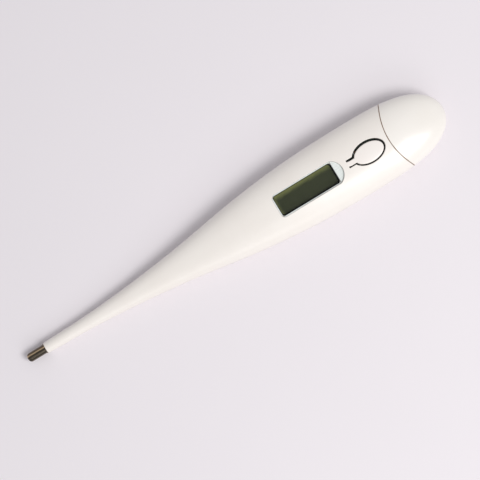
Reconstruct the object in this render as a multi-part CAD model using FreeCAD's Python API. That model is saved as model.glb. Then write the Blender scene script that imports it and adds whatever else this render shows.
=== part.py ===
import FreeCAD, Part
import math
import os
from FreeCAD import Vector

# A pocket digital thermometer. Millimetres, +Z up, display up.
# Stations run along X from the very end of the metal tip to the end of the battery cover.
# Every piece is drawn at its station, and save() then brings the middle of the length to X = 0.

# Outside, and the walls
LENGTH = 127.0
WIDTH = 19.4
HEIGHT = 10.4
WALL = 1.2
STEM_WALL = 0.55
FOOT_DEPTH = 0.12          # how much of the round underside the flat foot takes off

# Plan and side view of the moulding
TAIL_LENGTH = 29.0         # from the widest station to the end
BODY_LENGTH = 48.0         # from the widest station forward to the root of the stem
PLAN_ROUNDNESS = 3.8       # power of the tail's curve in plan: 2 is an ellipse
SIDE_ROUNDNESS = 3.2       # the same, seen from the side
SECTION_POWER = 2.5        # power of the body's section: 2 is an ellipse
STEM_DIAMETER = 3.0
STEM_LIFT = 0.7            # the stem's end above the surface that the foot stands on
STEM_PLAN = ((0.33, 1.98), (0.66, 3.15))                   # share of the stem, half-width
BODY_PLAN = ((0.0, 0.515), (0.3125, 0.758), (0.625, 0.928), (1.0, 1.0))    # shares
STEM_TOP = ((0.33, 4.40), (0.66, 5.55))                    # share of the stem, height
BODY_TOP = ((0.0, 0.692), (0.3125, 0.870), (0.625, 0.973), (1.0, 1.0))     # shares
STEM_BOTTOM = ((0.33, 0.50), (0.66, 0.30))
BODY_BOTTOM = ((0.0, 0.10), (0.3125, -0.05))               # share of the body, height

# Metal tip and its sensor
TIP_LENGTH = 5.5
TIP_DIAMETER = 2.45
TIP_SHEET = 0.15
TIP_ROUND = 0.9
TIP_SOCKET = 3.0           # how far the tip goes into the stem
TIP_TAIL_DIAMETER = 2.0    # the narrower part of the tip inside the stem
BRIM_DIAMETER = 2.85
BRIM_THICKNESS = 0.25
BEAD_DIAMETER = 1.0
BEAD_STATION = 2.4
SEALANT_END = 6.5
WIRE_DIAMETER = 0.3
WIRE_SPACING = 0.4
WIRE_LANDING = 2.4         # how far the wires lie on the board
WIRE_APPROACH = (1.6, 0.4)                  # last bend: ahead of the board, and aside
WIRE_BORE_STATION = 12.0
WIRE_STEM_SHARES = (0.55, 0.9)
WIRE_DROP = 0.05           # below the middle of the stem, so that the run is not quite straight
WIRE_SLACK = ((0.05, 1.5, 0.05), (0.35, -2.4, 0.25), (0.65, 2.4, 0.5))   # share, across, share of rise
WIRE_BEND_SHARE = 0.45     # of the shorter run beside a bend

# Rounding of the edges that a finger meets
EDGE_ROUND = 0.12
SEAM_ROUND = 0.1

# Window, display opening and lens
VIEW_FRONT = LENGTH - 50.5
VIEW_LENGTH = 17.4
VIEW_WIDTH = 5.9
VIEW_CORNER = 0.8
RECESS_MARGIN = 0.3
RECESS_BULGE = 2.1         # how far the round end of the recess runs past the opening
RECESS_ARC_START = 0.1     # and how far ahead of the opening's end it starts
LENS_THICKNESS = 0.55
LENS_GAP = 0.05
LENS_SINK = 0.62           # lens face below the crown of the moulding
LEDGE_THICKNESS = 0.53
LEDGE_MARGIN = 1.35
LEDGE_REAR_MARGIN = 0.6
LEDGE_CORNER = 1.0

# Button: a tongue cut out of the wall, on a thin neck
BUTTON_STATION = LENGTH - 23.05
BUTTON_LENGTH = 9.5        # outside of its slot
BUTTON_WIDTH = 6.1
BUTTON_SLOT = 0.6
BUTTON_THICKNESS = 1.1
NECK_WIDTH = 1.35
NECK_LENGTH = 1.6
NECK_THICKNESS = 0.75
NECK_SLOT = 0.45
NECK_REACH = -0.5          # the pad's own rim starts this far ahead of the neck's end
NECK_GAP = 0.08            # free space at the root of the neck
NECK_OVERLAP = 0.9         # how far the neck's bar runs into the pad
POST_OFFSET = 3.05         # from the button's centre towards the cover
POST_DIAMETER = 1.6
POST_ROOT = 0.3            # how far the post runs into the tongue
PRESS_GAP = 0.05           # between the post and the switch

# Battery cover: seam, lip, side tongues and cell ribs
SEAM_STATION = LENGTH - 17.0
SEAM_RADIUS = 17.0
SEAM_GAP = 0.14
LIP_DEPTH = 0.6            # from the outer skin to the lip
LIP_LENGTH = 0.55
LIP_GAP = 0.1
TONGUE_LENGTH = 6.0        # ahead of the housing's mouth
TONGUE_HEIGHT = 4.0
TONGUE_GAP = 0.15
TONGUE_BOARD_GAP = 0.4
TONGUE_ROOT = (0.5, 2.0)   # from the mouth to where the root starts and ends in the cover
RIB_THICKNESS = 0.7
RIB_SPACING = 3.0
RIB_HEIGHT = 1.4
RIB_LIFT = 0.1

# Button cell
CELL_DIAMETER = 7.9
CELL_HEIGHT = 3.6
CELL_STATION = LENGTH - 14.5
CELL_GAP = 0.15
CAN_SHEET = 0.25
CAP_INSET = 0.6
CAP_RISE = 0.2
CONTACT_SHEET = 0.12
CONTACT_GAP = 0.05
CONTACT_WIDTH = 2.4
CONTACT_REACH = 1.0        # how far the lower strip runs past the cell's centre
CONTACT_LEG_GAP = 0.4      # from the cell's pocket forward to the upright leg
CONTACT_SLOT_GAP = 0.1
POSITIVE_LENGTH = 5.6
POSITIVE_CORNER = 0.5

# Chassis
SLIDE_GAP = 0.15
CHASSIS_FLOOR = 1.5        # underside of the cell pocket's floor
POCKET_FLOOR = 0.35
POCKET_WALL = 0.9
POCKET_FRONT_WALL = 1.3
POCKET_REAR = LENGTH - 9.6
RAIL_WIDTH = 1.1
RAIL_DEPTH = 2.4
BAR_DEPTH = 1.4
BAR_LENGTH = 2.0
BAR_STATIONS = (LENGTH - 59.0, LENGTH - 45.5)
PEG_DIAMETER = 1.0
PEG_GAP = 0.05
PEG_SPACING = 5.0
PEG_RISE = 0.35

# Circuit board and what it carries
BOARD_FRONT = LENGTH - 61.0
BOARD_REAR = LENGTH - 10.0
BOARD_WIDTH = 12.6
BOARD_THICKNESS = 0.6
BOARD_FRONT_GAP = 0.8
BOARD_FRONT_TAPER = 6.0
BOARD_REAR_WIDTH = 9.0
BOARD_REAR_TAPER = 4.0
BLOB_DIAMETER = 5.6
BLOB_HEIGHT = 1.1
BLOB_STATION = LENGTH - 39.0
RESISTOR = (1.0, 0.5, 0.35)
RESISTOR_STATION = LENGTH - 29.2
RESISTOR_PITCH = 1.1
RESISTOR_ROWS = (-3.6, 3.6)
CAPACITOR = (1.6, 0.8, 0.8)
CAPACITOR_STATION = LENGTH - 26.5
CAPACITOR_ROWS = (-1.6, 1.6)
SOLDER_DIAMETER = 1.1
SOLDER_HEIGHT = 0.45
SOLDER_BESIDE_LEAD = 2.6   # along the board, from the buzzer's middle
SOLDER_ASIDE = (1.2, -0.6)                  # across, from each buzzer lead
SOLDER_AT_SWITCH = (4.2, 3.2)               # along and across, from the switch

# Display: two glasses, their films, rubber connector strips and the frame round them
LCD_LENGTH = 19.4
LCD_WIDTH = 7.9
LCD_REAR_WIDTH = 6.1
GLASS_THICKNESS = 0.55
FILM_THICKNESS = 0.15
FILM_INSET = 0.4
LCD_HEADROOM = 0.35        # between the front film and the ledge
ZEBRA_WIDTH = 0.7
ZEBRA_LENGTH = 18.0
HOLDER_WALL = 0.7
HOLDER_GAP = 0.05
HOLDER_STEP = 0.3          # the frame stops this far below the front glass's face

# Switch
SWITCH_LENGTH = 6.0
SWITCH_WIDTH = 3.4
SWITCH_HEIGHT = 1.45
SWITCH_PLATE = 0.15
SWITCH_FLOOR = 0.35
SWITCH_WELL_DIAMETER = 3.2
PLUNGER_DIAMETER = 2.0
PLUNGER_FLANGE = 0.3
PLUNGER_GAP = 0.15
PLUNGER_RISE = 0.55        # above the switch's plate
SWITCH_CORNER = 0.3
DOME_RISE = 0.45
DOME_SHEET = 0.08
DOME_GAP = 0.05            # round the dome, and between dome and plunger

# Buzzer
BUZZER_DIAMETER = 9.9
BUZZER_PLATE = 0.15
CERAMIC_DIAMETER = 7.2
CERAMIC_THICKNESS = 0.2
BUZZER_STATION = LENGTH - 31.0
BUZZER_LIFT = 0.45         # from the pocket floor's underside to the seat's underside
BUZZER_SEAT = 0.6
BUZZER_SEAT_STEP = 0.8
BUZZER_RIM = 0.85
BUZZER_RIM_HEIGHT = 1.1
BUZZER_GAP = 0.1
LEAD_DIAMETER = 0.35
LEAD_OFFSETS = (3.2, -4.4)  # across the buzzer: one on the ceramic, one on the plate

# Worked out from the values above
BELLY = LENGTH - TAIL_LENGTH
STEM_ROOT = BELLY - BODY_LENGTH
STEM_CENTRE = STEM_LIFT + STEM_DIAMETER / 2
BORE_START = TIP_LENGTH + TIP_SOCKET
SEAM_CENTRE = SEAM_STATION + SEAM_RADIUS
MOUTH_STATION = SEAM_CENTRE - math.sqrt(SEAM_RADIUS ** 2 - (WIDTH / 2) ** 2)
LENS_TOP = HEIGHT - LENS_SINK
RECESS_FLOOR = LENS_TOP - LENS_THICKNESS
LEDGE_BOTTOM = RECESS_FLOOR - LEDGE_THICKNESS
POCKET_TOP = CHASSIS_FLOOR + POCKET_FLOOR
CELL_BOTTOM = POCKET_TOP + CONTACT_SHEET + CONTACT_GAP
CELL_TOP = CELL_BOTTOM + CELL_HEIGHT
BOARD_BOTTOM = CELL_TOP + CONTACT_GAP + CONTACT_SHEET
BOARD_TOP = BOARD_BOTTOM + BOARD_THICKNESS
FILM_TOP = LEDGE_BOTTOM - LCD_HEADROOM
FRONT_GLASS_BOTTOM = FILM_TOP - FILM_THICKNESS - GLASS_THICKNESS
REAR_GLASS_BOTTOM = FRONT_GLASS_BOTTOM - GLASS_THICKNESS
VIEW_CENTRE = VIEW_FRONT + VIEW_LENGTH / 2
SWITCH_STATION = BUTTON_STATION + POST_OFFSET
SWITCH_TOP = BOARD_TOP + SWITCH_HEIGHT + SWITCH_PLATE
PLUNGER_TOP = SWITCH_TOP + PLUNGER_RISE
POST_BOTTOM = PLUNGER_TOP + PRESS_GAP
BUZZER_TOP = CHASSIS_FLOOR + BUZZER_LIFT + BUZZER_SEAT
POCKET_HALF = CELL_DIAMETER / 2 + CELL_GAP

SECTION_POINTS = 32
STEM_SHARES = (0.0, 0.16, 0.33, 0.5, 0.66, 0.83)
BODY_SHARES = (0.0, 0.16, 0.3125, 0.47, 0.625, 0.8, 1.0)
TAIL_ANGLES = (12, 24, 35, 45, 54, 62, 69, 75, 80, 84, 87, 89)
SECTION_SPACING = 1.0      # sections of the outer form are at least this far from its start
CAVITY_OVERLAP = 0.5       # how far the hollow runs into the tip's bore
EDGE_REACH = 0.5           # rims of the button lie less than this below the crown
NEAR = 0.05                # edges and faces closer than this count as being at the same place
OVERCUT = 1.0              # how far a cut runs past the face that it opens
FAR = 60.0                 # longer than anything that a cut goes through


def save(name, shape):
    """Write one piece, with the middle of the thermometer's length at X = 0."""
    placed = shape.copy()
    placed.translate(Vector(-LENGTH / 2, 0, 0))
    placed.exportStep("parts/" + name + ".step")


def through(points, station):
    """Value at a station of the smooth curve through points, level at its last point."""
    slopes = [(points[1][1] - points[0][1]) / (points[1][0] - points[0][0])]
    for before, after in zip(points, points[2:]):
        slopes.append((after[1] - before[1]) / (after[0] - before[0]))
    slopes.append(0.0)
    for index in range(len(points) - 1):
        (x0, y0), (x1, y1) = points[index], points[index + 1]
        if station <= x1:
            run = x1 - x0
            t = (station - x0) / run
            rise = (y1 - y0) * t * t * (3 - 2 * t)
            lean = t * (1 - t) * ((1 - t) * slopes[index] - t * slopes[index + 1]) * run
            return y0 + rise + lean
    return points[-1][1]


def curve_points(first, stem, body, scale):
    """Points of one outline: the stem's end, points on the stem, then points on the body."""
    stem_length = STEM_ROOT - TIP_LENGTH
    points = [(TIP_LENGTH, first)]
    points += [(TIP_LENGTH + share * stem_length, value) for share, value in stem]
    points += [(STEM_ROOT + share * BODY_LENGTH, value * scale) for share, value in body]
    return points


PLAN = curve_points(STEM_DIAMETER / 2, STEM_PLAN, BODY_PLAN, WIDTH / 2)
TOP = curve_points(STEM_LIFT + STEM_DIAMETER, STEM_TOP, BODY_TOP, HEIGHT)
BOTTOM = curve_points(STEM_LIFT, STEM_BOTTOM, BODY_BOTTOM, 1.0)
BOTTOM += [(STEM_ROOT + 0.625 * BODY_LENGTH, -FOOT_DEPTH), (BELLY, -FOOT_DEPTH)]


def wall_depth(station, inset):
    """The inset at a station: in the stem the wall thins towards the tip."""
    share = min(1.0, max(0.0, (station - TIP_LENGTH) / (STEM_ROOT - TIP_LENGTH)))
    thin = STEM_WALL / WALL
    return inset * (thin + (1 - thin) * share)


def outline(station, inset):
    """Half-width, half-height, centre height and power of the section at a station."""
    if station > BELLY:
        run = (station - BELLY) / (TAIL_LENGTH - inset)
        centre = (HEIGHT - FOOT_DEPTH) / 2
        half_width = (WIDTH / 2 - inset) * math.sqrt(1 - run ** PLAN_ROUNDNESS)
        half_height = (HEIGHT - centre - inset) * math.sqrt(1 - run ** SIDE_ROUNDNESS)
        return half_width, half_height, centre, SECTION_POWER
    depth = wall_depth(station, inset)
    top, bottom = through(TOP, station), through(BOTTOM, station)
    share = min(1.0, (station - TIP_LENGTH) / (STEM_ROOT - TIP_LENGTH))
    power = 2 + (SECTION_POWER - 2) * share
    return through(PLAN, station) - depth, (top - bottom) / 2 - depth, (top + bottom) / 2, power


def drawable(station, inset):
    """Like outline(), but nowhere larger than at the housing's mouth."""
    half_width, half_height, centre, power = outline(station, inset)
    mouth_width, mouth_height, mouth_centre, _ = outline(MOUTH_STATION, inset)
    top = min(centre + half_height, mouth_centre + mouth_height)
    bottom = max(centre - half_height, mouth_centre - mouth_height)
    return min(half_width, mouth_width), (top - bottom) / 2, (top + bottom) / 2, power


def section(station, form):
    """The closed wire of a section: half-width, half-height, centre height and power."""
    half_width, half_height, centre, power = form
    points = []
    for step in range(SECTION_POINTS):
        angle = 2 * math.pi * step / SECTION_POINTS
        c, s = math.cos(angle), math.sin(angle)
        y = half_width * math.copysign(abs(c) ** (2 / power), c)
        z = centre + half_height * math.copysign(abs(s) ** (2 / power), s)
        points.append(Vector(station, y, z))
    curve = Part.BSplineCurve()
    steps = [float(step) for step in range(SECTION_POINTS + 1)]
    curve.interpolate(Points=points, PeriodicFlag=True, Parameters=steps)
    return Part.Wire(curve.toShape())


def moulding(inset, start, form=outline):
    """The solid inside the outer skin, inset from it, from a start station to the tail."""
    stations = [TIP_LENGTH + share * (STEM_ROOT - TIP_LENGTH) for share in STEM_SHARES]
    stations += [STEM_ROOT + share * BODY_LENGTH for share in BODY_SHARES]
    for angle in TAIL_ANGLES:
        stations.append(BELLY + (TAIL_LENGTH - inset) * math.sin(math.radians(angle)))
    kept = [start] + [station for station in stations if station > start + SECTION_SPACING]
    return Part.makeLoft([section(station, form(station, inset)) for station in kept], True, False)


def half_width_at(station, height, inset):
    """Half the width inside the skin at a station and a height."""
    half_width, half_height, centre, power = outline(station, inset)
    return half_width * (1 - (abs(height - centre) / half_height) ** power) ** (1 / power)


def slab(front, rear, half_width, bottom, top, corner=0.0):
    """An upright plate, centred on the length, with its four corners rounded."""
    plate = Part.makeBox(rear - front, 2 * half_width, top - bottom, Vector(front, -half_width, bottom))
    if corner:
        upright = [e for e in plate.Edges if abs(e.tangentAt(e.FirstParameter).z) > 0.99]
        plate = plate.makeFillet(corner, upright)
    return plate


def block(front, rear, left, right, bottom, top):
    """A plain box between stations, sides and heights."""
    return Part.makeBox(rear - front, right - left, top - bottom, Vector(front, left, bottom))


def disc(station, diameter, bottom, top, across=0.0):
    """An upright round solid."""
    return Part.makeCylinder(diameter / 2, top - bottom, Vector(station, across, bottom))


def ring(station, outer, inner, bottom, top):
    """An upright round ring."""
    return disc(station, outer, bottom, top).cut(disc(station, inner, bottom, top))


def rod(diameter, front, rear):
    """A round solid along the stem's own axis."""
    return Part.makeCylinder(diameter / 2, rear - front, Vector(front, 0, STEM_CENTRE), Vector(1, 0, 0))


def oval(station, length, width, bottom, top):
    """An upright elliptical solid."""
    curve = Part.Ellipse(Vector(station, 0, bottom), length / 2, width / 2)
    face = Part.Face(Part.Wire(curve.toShape()))
    return face.extrude(Vector(0, 0, top - bottom))


def drum(radius):
    """The tail side of the seam: an upright drum whose wall is the seam."""
    return Part.makeCylinder(radius, FAR, Vector(SEAM_CENTRE, 0, -FAR / 2))


def fused(pieces):
    """One solid out of pieces that share volume."""
    return pieces[0].multiFuse(pieces[1:]).removeSplitter()


def below(height):
    """Everything under a height."""
    return block(-FAR, LENGTH + FAR, -FAR, FAR, height - FAR, height)


def rim_edges(solid, front, rear, half_width, lowest):
    """Edges of a hole's or a key's rim: between stations, near the middle, and high up."""
    rim = []
    for edge in solid.Edges:
        centre = edge.CenterOfMass
        inside = front - NEAR < centre.x < rear + NEAR and abs(centre.y) < half_width + NEAR
        if inside and edge.Length > NEAR and min(v.Z for v in edge.Vertexes) > lowest:
            rim.append(edge)
    return rim


def seam_edge(solid, radius):
    """The outer edge of a part along the seam: the longest edge on the seam's drum."""
    def on_drum(edge):
        gaps = [abs(math.hypot(v.X - SEAM_CENTRE, v.Y) - radius) for v in edge.Vertexes]
        return max(gaps) < NEAR
    return max((edge for edge in solid.Edges if on_drum(edge)), key=lambda edge: edge.Length)


def make_skin():
    """The outer form of housing and cover together, with the flat foot."""
    return moulding(0.0, TIP_LENGTH).cut(below(0.0))


def recess(gap, bottom, top):
    """The lens's bullet outline as a solid: square towards the tip, round towards the button."""
    half = VIEW_WIDTH / 2 + RECESS_MARGIN - gap
    front = VIEW_FRONT - RECESS_MARGIN + gap
    side_end = VIEW_FRONT + VIEW_LENGTH - RECESS_ARC_START
    crown = VIEW_FRONT + VIEW_LENGTH + RECESS_BULGE - gap
    left = [Vector(side_end, half, bottom), Vector(front, half, bottom)]
    right = [Vector(front, -half, bottom), Vector(side_end, -half, bottom)]
    edges = [Part.makeLine(left[0], left[1]), Part.makeLine(left[1], right[0])]
    edges.append(Part.makeLine(right[0], right[1]))
    edges.append(Part.Arc(right[1], Vector(crown, 0, bottom), left[0]).toShape())
    plate = Part.Face(Part.Wire(edges)).extrude(Vector(0, 0, top - bottom))
    corners = [e for e in plate.Edges if e.BoundBox.ZLength > NEAR and e.BoundBox.XMax < front + NEAR]
    return plate.makeFillet(VIEW_CORNER + RECESS_MARGIN - gap, corners)


def keyhole(gap, bottom, top):
    """The button's outline, or its slot's outer edge when gap is zero."""
    front = BUTTON_STATION - BUTTON_LENGTH / 2
    pad = oval(BUTTON_STATION, BUTTON_LENGTH - 2 * gap, BUTTON_WIDTH - 2 * gap, bottom, top)
    neck_half = NECK_WIDTH / 2 + (0.0 if gap else NECK_SLOT)
    root = front - NECK_LENGTH + (NECK_GAP if gap else 0.0)
    neck = slab(root, front + gap + NECK_OVERLAP, neck_half, bottom, top)
    return fused([pad, neck])


def make_housing(skin, cavity):
    """The one-piece housing: stem, window with its ledge, button slot and open mouth."""
    ledge_half = VIEW_WIDTH / 2 + RECESS_MARGIN + LEDGE_MARGIN
    ledge_rear = VIEW_FRONT + VIEW_LENGTH + RECESS_BULGE + LEDGE_REAR_MARGIN
    ledge = slab(VIEW_FRONT - LEDGE_MARGIN, ledge_rear, ledge_half, LEDGE_BOTTOM, HEIGHT, LEDGE_CORNER)
    housing = skin.cut(cavity.cut(ledge))
    housing = housing.cut(rod(TIP_TAIL_DIAMETER, TIP_LENGTH - OVERCUT, BORE_START))
    housing = housing.cut(recess(0.0, RECESS_FLOOR, HEIGHT + OVERCUT))
    housing = housing.cut(slab(VIEW_FRONT, VIEW_FRONT + VIEW_LENGTH, VIEW_WIDTH / 2,
                               LEDGE_BOTTOM - OVERCUT, LENS_TOP, VIEW_CORNER))
    housing = housing.cut(keyhole(0.0, HEIGHT / 2, HEIGHT + OVERCUT))
    housing = housing.cut(drum(SEAM_RADIUS + SEAM_GAP / 2))
    rebate = moulding(LIP_DEPTH - LIP_GAP, BELLY).common(drum(SEAM_RADIUS + LIP_LENGTH + LIP_GAP))
    return round_housing(housing.cut(rebate))


def round_housing(housing):
    """The housing with its slot, window and mouth rims rounded, but not where the neck grows out."""
    neck_root = BUTTON_STATION - BUTTON_LENGTH / 2 - NECK_LENGTH
    rim = rim_edges(housing, neck_root, BUTTON_STATION + BUTTON_LENGTH / 2, BUTTON_WIDTH / 2,
                    HEIGHT - EDGE_REACH)
    slot = [edge for edge in rim if edge.CenterOfMass.x > neck_root + NEAR]
    housing = housing.makeFillet(EDGE_ROUND, slot)
    window = rim_edges(housing, VIEW_FRONT - RECESS_MARGIN, VIEW_FRONT + VIEW_LENGTH + RECESS_BULGE,
                       VIEW_WIDTH / 2 + RECESS_MARGIN, LENS_TOP - NEAR)
    housing = housing.makeFillet(EDGE_ROUND, window)
    return housing.makeFillet(SEAM_ROUND, [seam_edge(housing, SEAM_RADIUS + SEAM_GAP / 2)])


def make_button(skin):
    """The button tongue with its thin neck, and the post that reaches the switch."""
    underside = HEIGHT - BUTTON_THICKNESS
    tongue = keyhole(BUTTON_SLOT, underside, HEIGHT + OVERCUT).common(skin)
    neck_end = BUTTON_STATION - BUTTON_LENGTH / 2 + BUTTON_SLOT
    tongue = tongue.cut(slab(neck_end - FAR, neck_end, WIDTH, underside - OVERCUT,
                             HEIGHT - NECK_THICKNESS))
    rim = rim_edges(tongue, neck_end + NECK_REACH, LENGTH, BUTTON_WIDTH / 2, HEIGHT - EDGE_REACH)
    tongue = tongue.makeFillet(EDGE_ROUND, rim)
    post = disc(SWITCH_STATION, POST_DIAMETER, POST_BOTTOM, underside + POST_ROOT)
    return fused([tongue, post])


def make_lens():
    """The clear lens lying in the recess."""
    return recess(LENS_GAP, RECESS_FLOOR, LENS_TOP)


def make_cover(skin, cavity):
    """The pull-off cover: shell, lip under the housing's edge, side tongues and cell ribs."""
    shell = skin.common(drum(SEAM_RADIUS - SEAM_GAP / 2))
    shell = shell.makeFillet(SEAM_ROUND, [seam_edge(shell, SEAM_RADIUS - SEAM_GAP / 2)])
    lip = moulding(LIP_DEPTH, BELLY).common(drum(SEAM_RADIUS + LIP_LENGTH))
    cover = fused([shell, lip]).cut(cavity)
    guide_room = moulding(WALL + TONGUE_GAP, STEM_ROOT, drawable)
    inside = moulding(WALL / 2, BELLY)
    middle = (HEIGHT - FOOT_DEPTH) / 2
    face = BOARD_WIDTH / 2 + TONGUE_BOARD_GAP
    root_front, root_rear = MOUTH_STATION + TONGUE_ROOT[0], MOUTH_STATION + TONGUE_ROOT[1]
    rib_bottom = POCKET_TOP + CELL_GAP
    pieces = [cover]
    for side in (-1, 1):
        near, far = sorted((side * face, side * WIDTH))
        bottom, top = middle - TONGUE_HEIGHT / 2, middle + TONGUE_HEIGHT / 2
        tongue = block(MOUTH_STATION - TONGUE_LENGTH, root_rear, near, far, bottom, top)
        pieces.append(tongue.common(guide_room))
        root = block(root_front, root_rear, near, far, bottom, top)
        pieces.append(root.common(inside))
        rib_centre = side * RIB_SPACING / 2
        rib = block(CELL_STATION + CELL_DIAMETER / 2 + CELL_GAP, LENGTH, rib_centre - RIB_THICKNESS / 2,
                    rib_centre + RIB_THICKNESS / 2, rib_bottom + RIB_LIFT, rib_bottom + RIB_HEIGHT)
        pieces.append(rib.common(inside))
    return fused(pieces)


def make_tip():
    """The drawn metal tip: a round-nosed cup, a small brim, and a tail inside the stem."""
    cup = rod(TIP_DIAMETER, 0.0, TIP_LENGTH - BRIM_THICKNESS)
    nose = [e for e in cup.Edges if e.BoundBox.XMax < NEAR]
    cup = cup.makeFillet(TIP_ROUND, nose)
    brim = rod(BRIM_DIAMETER, TIP_LENGTH - BRIM_THICKNESS, TIP_LENGTH)
    tail = rod(TIP_TAIL_DIAMETER, TIP_ROUND, BORE_START)
    return fused([cup, brim, tail]).cut(tip_hollow(BORE_START))


def tip_hollow(end):
    """The inside of the metal tip, up to a station in its tail."""
    wide = rod(TIP_DIAMETER - 2 * TIP_SHEET, TIP_SHEET, TIP_LENGTH - BRIM_THICKNESS)
    nose = [e for e in wide.Edges if e.BoundBox.XMax < TIP_SHEET + NEAR]
    wide = wide.makeFillet(TIP_ROUND - TIP_SHEET, nose)
    return fused([wide, rod(TIP_TAIL_DIAMETER - 2 * TIP_SHEET, TIP_ROUND, end)])


def make_bead():
    """The thermistor bead."""
    return Part.makeSphere(BEAD_DIAMETER / 2, Vector(BEAD_STATION, 0, STEM_CENTRE))


def wire_route():
    """Points of the sensor wires' centre line: along the stem, then slack, then onto the board."""
    rise = BOARD_TOP + WIRE_SPACING / 2 + WIRE_DIAMETER / 2
    points = [Vector(BEAD_STATION + BEAD_DIAMETER / 2, 0, STEM_CENTRE)]
    points.append(Vector(WIRE_BORE_STATION, 0, STEM_CENTRE))
    for share in WIRE_STEM_SHARES:
        station = TIP_LENGTH + share * (STEM_ROOT - TIP_LENGTH)
        points.append(Vector(station, 0, outline(station, 0.0)[2] - WIRE_DROP))
    low = outline(STEM_ROOT, 0.0)[2]
    for share, across, lift in WIRE_SLACK:
        station = STEM_ROOT + share * (BOARD_FRONT - STEM_ROOT)
        points.append(Vector(station, across, low + lift * (rise - low)))
    points.append(Vector(BOARD_FRONT - WIRE_APPROACH[0], WIRE_APPROACH[1], rise))
    points.append(Vector(BOARD_FRONT + WIRE_LANDING, 0, rise))
    return points


def rounded_path(points):
    """Straight runs joined by arcs that touch them, as large as the shorter run allows."""
    edges = []
    start = points[0]
    for before, corner, after in zip(points, points[1:], points[2:]):
        back, ahead = before - corner, after - corner
        reach = WIRE_BEND_SHARE * min(back.Length, ahead.Length)
        back.normalize()
        ahead.normalize()
        arc_start, arc_end = corner + back * reach, corner + ahead * reach
        half_turn = (math.pi - back.getAngle(ahead)) / 2
        radius = reach / math.tan(half_turn)
        inward = (back + ahead).normalize()
        middle = corner + inward * (radius / math.cos(half_turn) - radius)
        edges.append(Part.makeLine(start, arc_start))
        edges.append(Part.Arc(arc_start, middle, arc_end).toShape())
        start = arc_end
    edges.append(Part.makeLine(start, points[-1]))
    return Part.Wire(edges)


def make_wires():
    """The two sensor wires, one above the other on one route."""
    points = wire_route()
    wires = []
    for side in (-1, 1):
        lift = Vector(0, 0, side * WIRE_SPACING / 2)
        path = rounded_path([point + lift for point in points])
        circle = Part.Circle(points[0] + lift, points[1] - points[0], WIRE_DIAMETER / 2)
        wires.append(path.makePipeShell([Part.Wire(circle.toShape())], True, False))
    return Part.makeCompound(wires)


def make_pocket():
    """The cell pocket at the rear of the chassis, open at the top and towards the cover."""
    front = CELL_STATION - POCKET_HALF - POCKET_FRONT_WALL
    pocket = slab(front, POCKET_REAR, POCKET_HALF + POCKET_WALL, CHASSIS_FLOOR, BOARD_BOTTOM)
    bar = slab(front, front + POCKET_FRONT_WALL, BOARD_WIDTH / 2, BOARD_BOTTOM - RAIL_DEPTH, BOARD_BOTTOM)
    pocket = fused([pocket, bar])
    pocket = pocket.cut(disc(CELL_STATION, 2 * POCKET_HALF, POCKET_TOP, BOARD_BOTTOM))
    pocket = pocket.cut(slab(CELL_STATION, POCKET_REAR, POCKET_HALF, POCKET_TOP, BOARD_BOTTOM))
    leaf_half = CONTACT_WIDTH / 2 + CONTACT_SLOT_GAP
    slot_front = negative_leg_station() - CONTACT_SLOT_GAP
    return pocket.cut(slab(slot_front, CELL_STATION, leaf_half, POCKET_TOP, BOARD_BOTTOM))


def make_chassis():
    """The inner frame: rails and bars under the board, buzzer seat, pegs and cell pocket."""
    front = BAR_STATIONS[0]
    rear = CELL_STATION - POCKET_HALF
    rail_face = BOARD_WIDTH / 2
    pieces = [make_pocket()]
    for side in (-1, 1):
        near, far = sorted((side * rail_face, side * (rail_face - RAIL_WIDTH)))
        pieces.append(block(front, rear, near, far, BOARD_BOTTOM - RAIL_DEPTH, BOARD_BOTTOM))
        peg_across = side * PEG_SPACING / 2
        peg_station = front + BAR_LENGTH / 2
        pieces.append(disc(peg_station, PEG_DIAMETER, BOARD_BOTTOM - BAR_DEPTH, BOARD_TOP + PEG_RISE,
                           peg_across))
    for station in BAR_STATIONS:
        pieces.append(slab(station, station + BAR_LENGTH, rail_face, BOARD_BOTTOM - BAR_DEPTH,
                           BOARD_BOTTOM))
    bore = BUZZER_DIAMETER + 2 * BUZZER_GAP
    rim = ring(BUZZER_STATION, bore + 2 * BUZZER_RIM, bore, BUZZER_TOP - BUZZER_SEAT,
               BUZZER_TOP + BUZZER_RIM_HEIGHT)
    seat = ring(BUZZER_STATION, bore + BUZZER_RIM, bore - 2 * BUZZER_SEAT_STEP,
                BUZZER_TOP - BUZZER_SEAT, BUZZER_TOP)
    pieces += [rim, seat]
    return fused(pieces).common(moulding(WALL + SLIDE_GAP, STEM_ROOT, drawable))


def make_board():
    """The circuit board, narrower where the housing narrows and round the cover's end."""
    front_half = half_width_at(BOARD_FRONT, BOARD_TOP, WALL) - BOARD_FRONT_GAP
    half, rear_half = BOARD_WIDTH / 2, BOARD_REAR_WIDTH / 2
    side = [(BOARD_FRONT, min(half, front_half)), (BOARD_FRONT + BOARD_FRONT_TAPER, half),
            (BOARD_REAR - BOARD_REAR_TAPER, half), (BOARD_REAR, rear_half)]
    outline_points = [Vector(x, y, BOARD_BOTTOM) for x, y in side]
    outline_points += [Vector(x, -y, BOARD_BOTTOM) for x, y in reversed(side)]
    edge = Part.makePolygon(outline_points + outline_points[:1])
    board = Part.Face(edge).extrude(Vector(0, 0, BOARD_THICKNESS))
    for side_sign in (-1, 1):
        board = board.cut(disc(BAR_STATIONS[0] + BAR_LENGTH / 2, PEG_DIAMETER + 2 * PEG_GAP,
                               BOARD_BOTTOM, BOARD_TOP, side_sign * PEG_SPACING / 2))
    return board


def lcd_slab(half_width, bottom, top, inset=0.0):
    """A plate of the display, centred behind the window."""
    half_length = LCD_LENGTH / 2 - inset
    return slab(VIEW_CENTRE - half_length, VIEW_CENTRE + half_length, half_width, bottom, top)


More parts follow.
